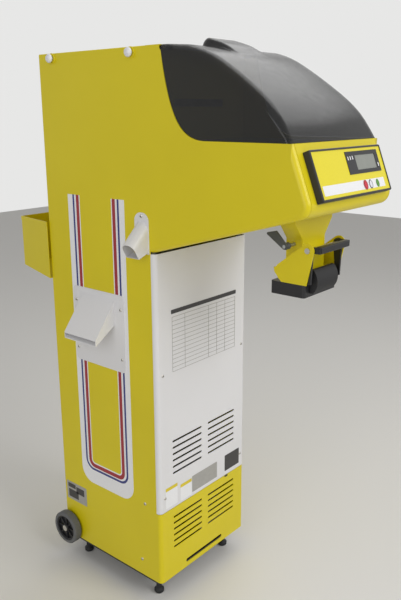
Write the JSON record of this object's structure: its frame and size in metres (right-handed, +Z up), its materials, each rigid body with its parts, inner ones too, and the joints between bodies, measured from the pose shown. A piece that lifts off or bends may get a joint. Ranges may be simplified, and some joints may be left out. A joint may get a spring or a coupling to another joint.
{
  "type": "automatic rice grader",
  "caption": "Upright sheet-metal rice grader: rear hopper, inner auger with slotted screen, leaning weighing head with smoked lid, bag chute with clamp, two side spouts, rear wheels.",
  "frame": {"origin": "centre of the bounding box's bottom face, on the floor", "axes": "+Z up, the front with the bag clamp faces -Y, the spouts are on the -X side"},
  "size_m": [0.4716, 0.9964, 1.502],
  "materials": {
    "yellow_coat": "gloss",
    "white_coat": "gloss",
    "steel_bare": "brushed",
    "steel_black": "satin",
    "smoke": "gloss",
    "black_plastic": "satin",
    "white_plastic": "gloss",
    "yellow_face": "satin",
    "red_plastic": "gloss",
    "green_plastic": "gloss",
    "window": "gloss",
    "board": "satin",
    "pad_rubber": "matte",
    "tyre_rubber": "matte",
    "rim_plastic": "satin",
    "belt_rubber": "matte",
    "cast": "painted",
    "alloy": "machined",
    "zinc": "bright"
  },
  "bodies": {
    "lid": {"smoke_lid": "smoke"},
    "auger": {"auger_screw": "steel_bare", "auger_pulley": "cast"},
    "rotor": {"motor_pulley": "cast"},
    "left_wheel": {"left_tyre": "tyre_rubber", "left_rim": "rim_plastic"},
    "right_wheel": {"right_tyre": "tyre_rubber", "right_rim": "rim_plastic"},
    "gate": {"gate_flap": "steel_bare", "gate_lever": "zinc"},
    "clamp": {"clamp_lever": "steel_black", "clamp_jaw": "pad_rubber"},
    "stop_key": {"stop_button": "red_plastic"},
    "set_key": {"set_button": "white_plastic"},
    "start_key": {"start_button": "green_plastic"},
    "knob_lf": {"knob_left_front": "white_plastic"},
    "knob_lr": {"knob_left_rear": "white_plastic"},
    "knob_rf": {"knob_right_front": "white_plastic"},
    "knob_rr": {"knob_right_rear": "white_plastic"},
    "machine": {"base_pan": "steel_black", "column_shell": "yellow_coat", "front_posts": "steel_bare", "top_cover": "yellow_coat", "front_cover": "white_coat", "lower_cover": "yellow_coat", "panel_screws": "zinc", "head_shell": "yellow_coat", "front_panel": "yellow_coat", "hinge_ears": "zinc", "hinge_rod": "zinc", "inner_wall": "yellow_coat", "display_case": "black_plastic", "control_board": "board", "display_face": "yellow_face", "window_frame": "black_plastic", "window_glass": "window", "grain_tank": "steel_bare", "tank_rails": "steel_bare", "load_cell": "alloy", "chute": "yellow_coat", "clamp_yoke": "yellow_coat", "bag_frame": "steel_black", "yoke_pin": "zinc", "small_outlet": "white_coat", "overflow_spout": "white_coat", "receiving_hopper": "yellow_coat", "feed_duct": "steel_bare", "drive_brackets": "steel_bare", "auger_bearings": "cast", "auger_tube": "steel_bare", "grading_screen": "steel_bare", "screen_housing": "steel_bare", "discharge_head": "steel_bare", "overflow_duct": "steel_bare", "drive_belt": "belt_rubber", "drive_motor": "cast", "wheel_brackets": "steel_black", "wheel_axle": "zinc", "front_feet": "pad_rubber", "cable_gland": "black_plastic"}
  },
  "joints": [
    {"name": "lid_hinge", "type": "hinge", "parent": "machine", "child": "lid", "pos_m": [0.01975, -0.09325, 1.4745], "axis": [-1, 0, 0], "range_deg": [0, 80]},
    {"name": "auger_spin", "type": "hinge", "parent": "machine", "child": "auger", "pos_m": [0.01975, 0.15325, 0.4], "axis": [0, 0, 1], "continuous": true},
    {"name": "rotor_spin", "type": "hinge", "parent": "machine", "child": "rotor", "pos_m": [0.11775, 0.04725, 0.1], "axis": [0, 0, 1], "continuous": true},
    {"name": "left_wheel_spin", "type": "hinge", "parent": "machine", "child": "left_wheel", "pos_m": [-0.1825, 0.32225, 0.1015], "axis": [1, 0, 0], "continuous": true},
    {"name": "right_wheel_spin", "type": "hinge", "parent": "machine", "child": "right_wheel", "pos_m": [0.222, 0.32225, 0.1015], "axis": [1, 0, 0], "continuous": true},
    {"name": "gate_turn", "type": "hinge", "parent": "machine", "child": "gate", "pos_m": [0.01975, -0.36625, 1.046], "axis": [-1, 0, 0], "range_deg": [0, 80]},
    {"name": "clamp_swing", "type": "hinge", "parent": "machine", "child": "clamp", "pos_m": [0.01975, -0.41475, 1.039], "axis": [-1, 0, 0], "range_deg": [0, 65]},
    {"name": "stop_press", "type": "slide", "parent": "machine", "child": "stop_key", "axis": [0, 0.9317, -0.3633], "range_m": [0, 0.0006], "stiffness_N_per_m": 800, "springref_m": -0.0008},
    {"name": "set_press", "type": "slide", "parent": "machine", "child": "set_key", "axis": [0, 0.9317, -0.3633], "range_m": [0, 0.0006], "stiffness_N_per_m": 800, "springref_m": -0.0008},
    {"name": "start_press", "type": "slide", "parent": "machine", "child": "start_key", "axis": [0, 0.9317, -0.3633], "range_m": [0, 0.0006], "stiffness_N_per_m": 800, "springref_m": -0.0008},
    {"name": "knob_lf_turn", "type": "hinge", "parent": "machine", "child": "knob_lf", "pos_m": [-0.17625, 0.00325, 1.4675], "axis": [1, 0, 0], "continuous": true},
    {"name": "knob_lr_turn", "type": "hinge", "parent": "machine", "child": "knob_lr", "pos_m": [-0.17625, 0.29025, 1.4675], "axis": [1, 0, 0], "continuous": true},
    {"name": "knob_rf_turn", "type": "hinge", "parent": "machine", "child": "knob_rf", "pos_m": [0.21575, 0.00325, 1.4675], "axis": [1, 0, 0], "continuous": true},
    {"name": "knob_rr_turn", "type": "hinge", "parent": "machine", "child": "knob_rr", "pos_m": [0.21575, 0.29025, 1.4675], "axis": [1, 0, 0], "continuous": true}
  ],
  "couplings": [
    {"joint": "rotor_spin", "follows": "auger_spin", "ratio": 3}
  ]
}
